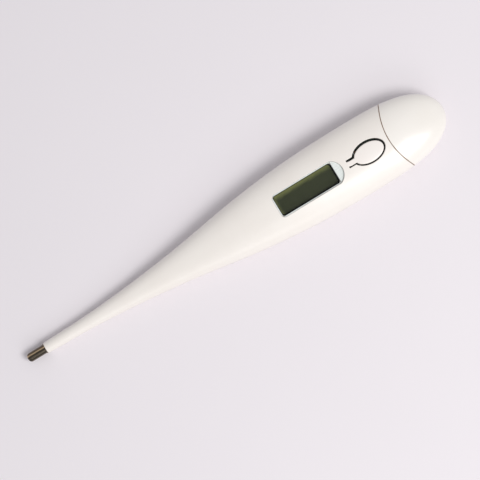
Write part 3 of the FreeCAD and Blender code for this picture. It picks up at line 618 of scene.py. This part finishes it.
class Wardrobe:
    """Makes each finish once and puts it on pieces."""

    def __init__(self) -> None:
        """Starts with no finish made."""
        self.made: dict[Tone, bpy.types.Material] = {}

    def material(self, tone: Tone) -> bpy.types.Material:
        """The tone's material, made on first use."""
        if tone not in self.made:
            self.made[tone] = tone.value.build()
        return self.made[tone]

    def dress(self, piece: bpy.types.Object, tone: Tone) -> None:
        """Puts one finish on every slot of a piece."""
        if not piece.material_slots:
            piece.data.materials.append(None)
        for slot in piece.material_slots:
            slot.material = self.material(tone)


# ---------------------------------------------------------------- studio


@dataclass
class Studio:
    """Camera, soft lights and table top."""

    turn: float = math.radians(-31.29)
    distance: float = 0.430
    view_width: float = 0.12524
    sensor: float = 36.0
    aim: tuple[float, float] = (0.00138, -0.00173)
    table_size: float = 1.6

    def along(self, right: float, up: float, height: float) -> Vector:
        """A point given along the picture's right and up directions, in metres."""
        c, s = math.cos(self.turn), math.sin(self.turn)
        return Vector((right * c - up * s, right * s + up * c, height))

    def camera(self) -> None:
        """The camera straight above the object, turned so that the object lies across the picture."""
        data = bpy.data.cameras.new("camera")
        data.sensor_width = self.sensor
        data.lens = self.sensor * self.distance / self.view_width
        camera = bpy.data.objects.new("camera", data)
        middle = (CAD_BOX[0].z + CAD_BOX[1].z) / 2
        camera.location = self.along(*self.aim, middle + self.distance)
        camera.rotation_euler = (0.0, 0.0, self.turn)
        bpy.context.collection.objects.link(camera)
        bpy.context.scene.camera = camera

    def lamp(self, name: str, spot: Vector, size: tuple[float, float], power: float, colour: Colour) -> None:
        """A rectangular soft light that looks at the object.

        Args:
            name: The light's name.
            spot: Where it hangs, in metres.
            size: Its width and height in metres.
            power: Its power in watts.
            colour: Its linear colour.
        """
        data = bpy.data.lights.new(name, "AREA")
        data.shape = "RECTANGLE"
        data.size, data.size_y = size
        data.energy = power
        data.color = colour
        lamp = bpy.data.objects.new(name, data)
        lamp.location = spot
        lamp.rotation_euler = (-spot).to_track_quat("-Z", "Y").to_euler()
        bpy.context.collection.objects.link(lamp)

    def lights(self) -> None:
        """A broad key high on the right, a wide side light at the lower right, and a pale surround."""
        self.lamp("key", self.along(0.32, -0.12, 0.58), (0.3, 0.3), 2.4, (1.0, 0.985, 0.965))
        self.lamp("side", self.along(0.28, -0.5, 0.42), (0.5, 0.3), 0.6, (1.0, 0.99, 0.98))
        world = bpy.data.worlds.new("surround")
        world.use_nodes = True
        background = world.node_tree.nodes["Background"]
        background.inputs["Color"].default_value = (0.98, 0.975, 1.0, 1.0)
        background.inputs["Strength"].default_value = 0.47
        bpy.context.scene.world = world

    def table(self, wardrobe: Wardrobe) -> None:
        """The plain pale surface under the object."""
        half = self.table_size / 2
        corners = [(-half, -half, 0), (half, -half, 0), (half, half, 0), (-half, half, 0)]
        mesh = bpy.data.meshes.new("table_top")
        mesh.from_pydata(corners, [], [(0, 1, 2, 3)])
        table = bpy.data.objects.new("table_top", mesh)
        bpy.context.collection.objects.link(table)
        wardrobe.dress(table, Tone.TABLE)

    def build(self, wardrobe: Wardrobe) -> None:
        """Sets up the whole studio."""
        self.camera()
        self.lights()
        self.table(wardrobe)
        bpy.context.scene.view_settings.view_transform = "Standard"


# ---------------------------------------------------------------- mesh making


def smooth_step(value: float, low: float, high: float) -> float:
    """0 at low and below, 1 at high and above, smooth between."""
    share = min(1.0, max(0.0, (value - low) / (high - low)))
    return share * share * (3 - 2 * share)


def solid(
    name: str, points: Sequence[Vector], faces: Iterable[Sequence[int]], crease: float = 35.0
) -> bpy.types.Object:
    """A closed piece from points and faces.

    Args:
        name: The piece's name.
        points: Its corners in metres.
        faces: Corner numbers of each face.
        crease: Edges sharper than this many degrees stay sharp.

    Returns:
        The new object, with merged corners and faces that point outwards.
    """
    mesh = bpy.data.meshes.new(name)
    mesh.from_pydata([tuple(point) for point in points], [], [tuple(face) for face in faces])
    shape = bmesh.new()
    shape.from_mesh(mesh)
    bmesh.ops.remove_doubles(shape, verts=shape.verts, dist=0.0005 * MM)
    bmesh.ops.recalc_face_normals(shape, faces=shape.faces)
    shape.to_mesh(mesh)
    shape.free()
    return shown(name, mesh, crease)


def shown(name: str, mesh: bpy.types.Mesh, crease: float) -> bpy.types.Object:
    """Links a mesh to the scene as a smooth-shaded piece with sharp creases."""
    mesh.shade_smooth()
    mesh.set_sharp_from_angle(angle=math.radians(crease))
    piece = bpy.data.objects.new(name, mesh)
    bpy.context.collection.objects.link(piece)
    return piece


def loop_faces(rows: int, columns: int) -> list[tuple[int, ...]]:
    """Faces of a closed tube: rows of closed loops, with a face over each end."""
    faces = [
        (row * columns + c, row * columns + (c + 1) % columns,
         (row + 1) * columns + (c + 1) % columns, (row + 1) * columns + c)
        for row in range(rows - 1) for c in range(columns)
    ]
    last = (rows - 1) * columns
    return faces + [tuple(range(columns)), tuple(range(last, last + columns))]


def turned(
    profile: Sequence[tuple[float, float]], steps: int, point: Callable[[float, float, float], Vector]
) -> tuple[list[Vector], list[tuple[int, ...]]]:
    """Points and faces of a round shape.

    Args:
        profile: A closed outline as distances along the axis and from it.
        steps: How many times the outline is repeated round the axis.
        point: Gives the place of a distance along, a distance from the axis and an angle.

    Returns:
        The corners and the faces of a ring.
    """
    count = len(profile)
    angles = [2 * math.pi * step / steps for step in range(steps)]
    points = [point(along, away, angle) for angle in angles for along, away in profile]
    faces = [
        (step * count + i, step * count + (i + 1) % count,
         (step + 1) % steps * count + (i + 1) % count, (step + 1) % steps * count + i)
        for step in range(steps) for i in range(count)
    ]
    return points, faces


class Recipe(Graph):
    """A Geometry Nodes tree with named sizes, and the plain mesh that it makes."""

    def __init__(self, name: str) -> None:
        """Starts a tree with one geometry input and one geometry output."""
        self.tree = bpy.data.node_groups.new(name, "GeometryNodeTree")
        for side in ("INPUT", "OUTPUT"):
            self.tree.interface.new_socket("Geometry", in_out=side, socket_type="NodeSocketGeometry")
        self.entry = self.tree.nodes.new("NodeGroupInput")
        self.sizes: dict[str, Any] = {}

    def size(self, name: str, value: Any, kind: str = "Float") -> bpy.types.NodeSocket:
        """Adds a named input with its value and returns its socket inside the tree."""
        socket = self.tree.interface.new_socket(name, in_out="INPUT", socket_type="NodeSocket" + kind)
        self.sizes[socket.identifier] = value
        return next(s for s in self.entry.outputs if s.identifier == socket.identifier)

    def row(
        self, count: int, start: Vector, step: Vector, item: bpy.types.NodeSocket
    ) -> bpy.types.NodeSocket:
        """Copies of a shape in a straight row, from a start point on."""
        line = self.node(
            "GeometryNodeMeshLine",
            {"mode": "OFFSET"},
            {
                "Count": self.size("Count", count, "Int"),
                "Start Location": self.size("Start", start, "Vector"),
                "Offset": self.size("Step", step, "Vector"),
            },
        )
        joined = {"Points": line.outputs[0], "Instance": item}
        return self.node("GeometryNodeInstanceOnPoints", None, joined).outputs[0]

    def brick(self, size: Vector) -> bpy.types.NodeSocket:
        """A box of a named size."""
        brick = {"Size": self.size("Brick", size, "Vector")}
        return self.node("GeometryNodeMeshCube", None, brick).outputs[0]

    def make(
        self,
        name: str,
        result: bpy.types.NodeSocket,
        material: bpy.types.Material,
        source: bpy.types.ID | None = None,
    ) -> bpy.types.Object:
        """Runs the tree and keeps the result as a plain piece.

        Args:
            name: The piece's name.
            result: The geometry to keep.
            material: Its finish.
            source: The mesh or curve that the tree works on, or an empty mesh.

        Returns:
            The finished piece, with no modifier on it.
        """
        real = self.node("GeometryNodeRealizeInstances", None, {0: result}).outputs[0]
        painted = self.node("GeometryNodeSetMaterial", None, {"Geometry": real, "Material": material})
        self.node("NodeGroupOutput", None, {0: painted.outputs[0]})
        carrier = bpy.data.objects.new(name + "_source", source or bpy.data.meshes.new(name + "_source"))
        bpy.context.collection.objects.link(carrier)
        modifier = carrier.modifiers.new("shape", "NODES")
        modifier.node_group = self.tree
        for identifier, value in self.sizes.items():
            modifier[identifier] = value
        evaluated = carrier.evaluated_get(bpy.context.evaluated_depsgraph_get())
        mesh = bpy.data.meshes.new_from_object(evaluated)
        mesh.name = name
        bpy.data.objects.remove(carrier)
        return shown(name, mesh, 35.0)


# ---------------------------------------------------------------- button


@dataclass
class Button:
    """The press button: a crowned pad on a thin neck that grows out of the housing.

    Stations and sizes are in millimetres.
    """

    centre: float = 103.95
    half_length: float = 4.2
    half_width: float = 2.52
    aside: float = -0.14
    neck_front: float = 97.55
    neck_half: float = 0.66
    neck_end: float = 99.8
    neck_bottom: float = 9.65
    pad_bottom: float = 9.3
    rim: float = 0.16
    dish: float = 0.06
    post_station: float = 107.0
    post_radius: float = 0.8
    post_end: float = 8.59
    bend: tuple[float, float] = (97.6, 98.8)
    tail: float = 29.0
    foot_cut: float = 0.12
    tail_power: float = 3.8
    crown_power: float = 3.2
    belly_power: float = 2.5
    sunk: float = 0.003
    post_root: float = 0.3
    post_round: float = 0.1
    post_steps: int = 40
    crease: float = 40.0
    neck_steps: int = 8
    side_steps: int = 40
    rim_steps: int = 5
    columns: int = 14

    def skin_height(self, station: float, across: float) -> float:
        """Height of the housing's outer skin behind its widest station."""
        low, high = CAD_BOX[0].z / MM, CAD_BOX[1].z / MM
        half = CAD_BOX[1].y / MM
        middle = (high - low - self.foot_cut) / 2
        run = max(0.0, (station - (HALF_LENGTH * 2 - self.tail)) / self.tail)
        width = half * math.sqrt(1 - run**self.tail_power)
        height = (high - middle) * math.sqrt(1 - run**self.crown_power)
        return middle + height * (1 - (abs(across) / width) ** self.belly_power) ** (1 / self.belly_power)

    def side(self, inset: float) -> list[tuple[float, float]]:
        """One side of the outline, from the neck's root to the pad's far end."""
        neck = self.neck_half - inset
        a, b = self.half_length - inset, self.half_width - inset
        corner = math.pi - math.asin(neck / b)
        junction = self.centre + a * math.cos(corner)
        run = junction - self.neck_front
        points = [(self.neck_front + run * i / self.neck_steps, neck) for i in range(self.neck_steps)]
        for i in range(self.side_steps + 1):
            angle = corner * (1 - i / self.side_steps)
            points.append((self.centre + a * math.cos(angle), b * math.sin(angle)))
        return points

    def top(self, station: float, across: float) -> float:
        """Height of the pad's face: the skin's height at the neck, a little dished towards the rim."""
        away = math.hypot((station - self.centre) / self.half_length, across / self.half_width)
        pad = smooth_step(station, self.neck_front, self.centre - self.half_length + 1.0)
        return self.skin_height(station, across) - self.dish * min(1.0, away) ** 2 * pad - self.sunk

    def bottom(self, station: float) -> float:
        """Height of the underside: higher under the thin neck."""
        thick = smooth_step(station, self.neck_end - 0.6, self.neck_end + 0.2)
        return self.neck_bottom + (self.pad_bottom - self.neck_bottom) * thick

    def at(self, station: float, across: float, height: float) -> Vector:
        """A point of the tongue, with the pad moved a little aside."""
        moved = self.aside * smooth_step(station, self.neck_front, self.neck_front + 0.9)
        return place(station, across + moved, height)

    def tongue(self) -> tuple[list[Vector], list[tuple[int, ...]]]:
        """Points and faces of neck and pad, as closed loops from the root to the far end."""
        quarter = [math.pi / 2 * k / self.rim_steps for k in range(self.rim_steps + 1)]
        insets = [self.rim * (1 - math.cos(angle)) for angle in quarter]
        drops = [self.rim * (1 - math.sin(angle)) for angle in quarter]
        sides = [self.side(inset) for inset in insets]
        points: list[Vector] = []
        rows = len(sides[0])
        for i in range(rows):
            right = [(*side[i], drop) for side, drop in zip(sides, drops)]
            inner, low = sides[-1][i], sides[0][i]
            loop = [self.at(x, -y, self.top(x, y) - drop) for x, y, drop in right]
            for c in range(1, self.columns):
                y = inner[1] * (2 * c / self.columns - 1)
                loop.append(self.at(inner[0], y, self.top(inner[0], y)))
            loop += [self.at(x, y, self.top(x, y) - drop) for x, y, drop in reversed(right)]
            for c in range(self.columns + 1):
                loop.append(self.at(low[0], low[1] * (1 - 2 * c / self.columns), self.bottom(low[0])))
            points += loop
        return points, loop_faces(rows, len(points) // rows)

    def post(self) -> tuple[list[Vector], list[tuple[int, ...]]]:
        """Points and faces of the round post under the pad."""
        top, r, edge = self.pad_bottom + self.post_root, self.post_radius, self.post_round
        rings = [(self.post_end, 0.001), (self.post_end, r - edge), (self.post_end + edge, r),
                 (self.pad_bottom - edge, r), (self.pad_bottom, r + edge), (top, r + edge), (top, 0.001)]
        return turned(rings, self.post_steps, lambda h, away, angle: place(
            self.post_station + away * math.cos(angle), away * math.sin(angle), h))

    def build(self, wardrobe: Wardrobe) -> None:
        """Makes the button and hides the imported one."""
        points, faces = self.tongue()
        more, extra = self.post()
        faces += [tuple(number + len(points) for number in face) for face in extra]
        piece = solid("press_button", points + more, faces, self.crease)
        wardrobe.dress(piece, Tone.BUTTON)
        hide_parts("power_button")
        place(self.bend[0], 0, 10)
        place(self.bend[1], 0, 10)
        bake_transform(piece)
        log.info("press_button: pad %.1f x %.1f mm", 2 * self.half_length, 2 * self.half_width)


# ---------------------------------------------------------------- tip and sensor


@dataclass
class Sensor:
    """What is seen at the metal tip, and the wires behind it. Sizes are in millimetres."""

    stem_end: float = 5.5
    axis_height: float = 2.2
    glue_inner: float = 1.15
    glue_outer: float = 1.46
    glue_width: float = 0.1
    glue_corners: int = 10
    glue_steps: int = 72
    glue_waves: tuple[float, float] = (0.02, 0.012)
    wire_radius: float = 0.15
    wire_corners: int = 12
    wire_steps: int = 12
    wire_spacing: float = 0.4
    route: tuple[tuple[float, float, float], ...] = (
        (2.9, 0.0, 2.2), (12.0, 0.0, 2.2), (29.975, 0.0, 2.86), (45.55, 0.0, 3.28),
        (50.8, 1.5, 3.6), (55.6, -2.4, 4.35), (60.4, 2.4, 5.2), (64.4, 0.4, 6.74), (68.4, 0.0, 6.74),
    )
    slack: tuple[float, float] = (50.0, 65.5)

    def glue(self, wardrobe: Wardrobe) -> None:
        """The thin ring of glue squeezed out between the tip's brim and the stem's end."""
        turns = [2 * math.pi * i / self.glue_corners for i in range(self.glue_corners)]
        middle = (self.glue_inner + self.glue_outer) / 2
        half = (self.glue_outer - self.glue_inner) / 2
        profile = [
            (self.stem_end + self.glue_width * math.cos(turn), middle + half * math.sin(turn))
            for turn in turns
        ]
        broad, fine = self.glue_waves

        def point(along: float, away: float, angle: float) -> Vector:
            """A place round the tip's axis, with a ring that isn't quite even."""
            uneven = away + broad * math.sin(3 * angle) + fine * math.sin(7 * angle + 1)
            return place(along, uneven * math.cos(angle), self.axis_height + uneven * math.sin(angle))

        piece = solid("glue_ring", *turned(profile, self.glue_steps, point))
        wardrobe.dress(piece, Tone.GLUE)
        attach(piece, "root")
        log.info("glue_ring: %.1f mm outside", 2 * self.glue_outer)

    def wires(self, wardrobe: Wardrobe) -> None:
        """The two sensor wires, as tubes along a curve."""
        curve = bpy.data.curves.new("sensor_wires_line", "CURVE")
        curve.dimensions = "3D"
        for side in (-0.5, 0.5):
            spline = curve.splines.new("NURBS")
            spline.points.add(len(self.route) - 1)
            for knot, (station, across, height) in zip(spline.points, self.route):
                knot.co = (*place(station, across, height + side * self.wire_spacing), 1.0)
            spline.order_u = 3
            spline.use_endpoint_u = True
            spline.resolution_u = self.wire_steps
        recipe = Recipe("wire_tube")
        circle = recipe.node(
            "GeometryNodeCurvePrimitiveCircle",
            None,
            {
                "Resolution": recipe.size("Corners", self.wire_corners, "Int"),
                "Radius": recipe.size("Radius", self.wire_radius * MM),
            },
        )
        tube = recipe.node(
            "GeometryNodeCurveToMesh",
            None,
            {
                "Curve": recipe.entry.outputs["Geometry"],
                "Profile Curve": circle.outputs[0],
                "Fill Caps": True,
            },
        )
        piece = recipe.make("sensor_wires", tube.outputs[0], wardrobe.material(Tone.WIRE), curve)
        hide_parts("thermistor_wires")
        place(self.slack[0], 0, 4)
        place(self.slack[1], 0, 4)
        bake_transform(piece)
        log.info("sensor_wires: two of %.1f mm", 2 * self.wire_radius)

    def build(self, wardrobe: Wardrobe) -> None:
        """Makes the glue ring and the wires."""
        self.glue(wardrobe)
        self.wires(wardrobe)


# ---------------------------------------------------------------- electronics


@dataclass
class Electronics:
    """Repeated small things on the circuit board. Sizes are in millimetres."""

    strip_pitch: float = 0.3
    dark_share: float = 0.45
    end_cap: float = 0.22
    cap_proud: float = 0.02
    resistor: tuple[float, float, float] = (1.0, 0.5, 0.35)
    resistor_front: float = 97.8
    resistor_step: float = 2.1
    resistor_rows: tuple[float, float] = (-3.6, 3.6)
    resistor_count: int = 3
    capacitor: tuple[float, float, float] = (1.6, 0.8, 0.8)
    capacitor_front: float = 100.5
    capacitor_rows: tuple[float, float] = (-1.6, 1.6)
    leg: tuple[float, float, float] = (1.1, 0.55, 0.14)
    leg_reach: float = 3.25
    leg_spread: float = 1.15
    via_radius: float = 0.26
    via_corners: int = 12
    via_height: float = 0.03
    via_lift: float = 0.012
    via_margin: float = 0.75
    via_front: float = 7.0
    via_clear: float = 12.0
    strip_width: float = 0.7
    via_step: float = 1.7

    def strips(self, wardrobe: Wardrobe) -> None:
        """The layered rubber strips that join the display to the board."""
        low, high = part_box("zebra_strips")
        width = self.strip_width * MM
        count = int((high.x - low.x) / (self.strip_pitch * MM))
        pitch = (high.x - low.x) / count
        for name, tone, share, offset, shrink in (
            ("strip_insulating_layers", Tone.STRIP, 1 - self.dark_share, 0.0, 0.0),
            ("strip_conducting_layers", Tone.CARBON, self.dark_share, 1 - self.dark_share, 0.02),
        ):
            recipe = Recipe(name)
            size = Vector((pitch * share, width - 2 * shrink * MM, high.z - low.z))
            brick = recipe.brick(size)
            first = low.x + pitch * (offset + share / 2)
            rows = []
            for side in (-1, 1):
                y = side * (high.y - width / 2)
                start = Vector((first, y, (low.z + high.z) / 2))
                rows.append(recipe.row(count, start, Vector((pitch, 0, 0)), brick))
            both = recipe.node("GeometryNodeJoinGeometry")
            for row in rows:
                recipe.tree.links.new(row, both.inputs[0])
            piece = recipe.make(name, both.outputs[0], wardrobe.material(tone))
            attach(piece, "chassis")
            if offset == 0.0:
                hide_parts("zebra_strips")
            log.info("%s: %d on each side", name, count)

    def terminals(self, wardrobe: Wardrobe, board_top: float) -> None:
        """The tinned ends of the small components, and the switch's four legs."""
        rows: list[tuple[str, tuple[float, float, float], float, float, int, float]] = []
        for name, size, front, step, count, across in (
            ("resistor", self.resistor, self.resistor_front, self.resistor_step, self.resistor_count,
             self.resistor_rows),
            ("capacitor", self.capacitor, self.capacitor_front, self.resistor_step, 1, self.capacitor_rows),
        ):
            length, width, height = size
            brick = (self.end_cap + self.cap_proud, width + 2 * self.cap_proud, height + self.cap_proud)
            inward = self.end_cap / 2 - self.cap_proud / 2
            for end in (inward, length - self.end_cap / 2 + self.cap_proud / 2):
                rows += [(name, brick, front + end, step, count, y) for y in across]
        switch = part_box("switch_base")
        centre = (switch[0].x + switch[1].x) / 2 / MM + HALF_LENGTH
        for y in (-self.leg_spread, self.leg_spread):
            rows.append(("switch_leg", self.leg, centre - self.leg_reach, 2 * self.leg_reach, 2, y))
        for number, (name, brick, station, step, count, across) in enumerate(rows, 1):
            recipe = Recipe(f"{name}_ends_{number}")
            size = Vector(brick) * MM
            start = place(station, across, board_top / MM) + Vector((0, 0, size.z / 2))
            row = recipe.row(count, start, Vector((step * MM, 0, 0)), recipe.brick(size))
            piece = recipe.make(f"{name}_ends_{number}", row, wardrobe.material(Tone.SOLDER))
            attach(piece, "chassis")
        log.info("terminals: %d rows", len(rows))

    def vias(self, wardrobe: Wardrobe, board_top: float) -> None:
        """Plated rings along both edges of the board."""
        low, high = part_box("circuit_board")
        margin = self.via_margin * MM
        count = int((high.x - low.x - self.via_clear * MM) / (self.via_step * MM))
        for name, y in (("edge_rings_left", high.y - margin), ("edge_rings_right", low.y + margin)):
            recipe = Recipe(name)
            ring = recipe.node(
                "GeometryNodeMeshCylinder",
                None,
                {
                    "Vertices": self.via_corners,
                    "Radius": recipe.size("Radius", self.via_radius * MM),
                    "Depth": self.via_height * MM,
                },
            )
            start = Vector((low.x + self.via_front * MM, y, board_top + self.via_lift * MM))
            row = recipe.row(count, start, Vector((self.via_step * MM, 0, 0)), ring.outputs[0])
            piece = recipe.make(name, row, wardrobe.material(Tone.GOLD))
            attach(piece, "chassis")
            log.info("%s: %d", name, count)

    def build(self, wardrobe: Wardrobe) -> None:
        """Makes the strips, the terminals and the plated rings."""
        board_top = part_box("circuit_board")[1].z
        self.strips(wardrobe)
        self.terminals(wardrobe, board_top)
        self.vias(wardrobe, board_top)


@dataclass
class Cell:
    """The raised plus sign on the cell's positive face. Sizes are in millimetres."""

    reach: float = 1.3
    half_bar: float = 0.22
    rise: float = 0.05
    sunk: float = 0.02
    top_share: float = 0.93

    def build(self, wardrobe: Wardrobe) -> None:
        """Makes the plus sign."""
        low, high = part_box("battery_can")
        x, y = (low.x + high.x) / 2 / MM + HALF_LENGTH, (low.y + high.y) / 2 / MM
        r, b, top = self.reach, self.half_bar, high.z / MM
        corner = [(b, b), (b, r), (-b, r), (-b, b), (-r, b), (-r, -b)]
        outline = corner + [(-u, -v) for u, v in corner]
        levels = (
            (top - self.sunk, 1.0),
            (top + self.rise - self.sunk, 1.0),
            (top + self.rise, self.top_share),
        )
        points = [place(x + u * share, y + v * share, h) for h, share in levels for u, v in outline]
        piece = solid("plus_sign", points, loop_faces(3, len(outline)))
        wardrobe.dress(piece, Tone.CAN)
        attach(piece, "cell")
        log.info("plus_sign: %.1f mm", 2 * r)


# ---------------------------------------------------------------- the whole


def dress_frame(wardrobe: Wardrobe) -> None:
    """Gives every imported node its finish."""
    for name, tone in NODE_TONES.items():
        wardrobe.dress(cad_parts[name], tone)
        log.info("%s: %s", name, tone.value.name)


def main() -> None:
    """Builds the studio and the object's looks, in order."""
    logging.basicConfig(level=logging.INFO, format="%(name)s: %(message)s")
    wardrobe = Wardrobe()
    Studio().build(wardrobe)
    dress_frame(wardrobe)
    for part in (Button(), Sensor(), Electronics(), Cell()):
        part.build(wardrobe)


if __name__ == "__main__":
    main()
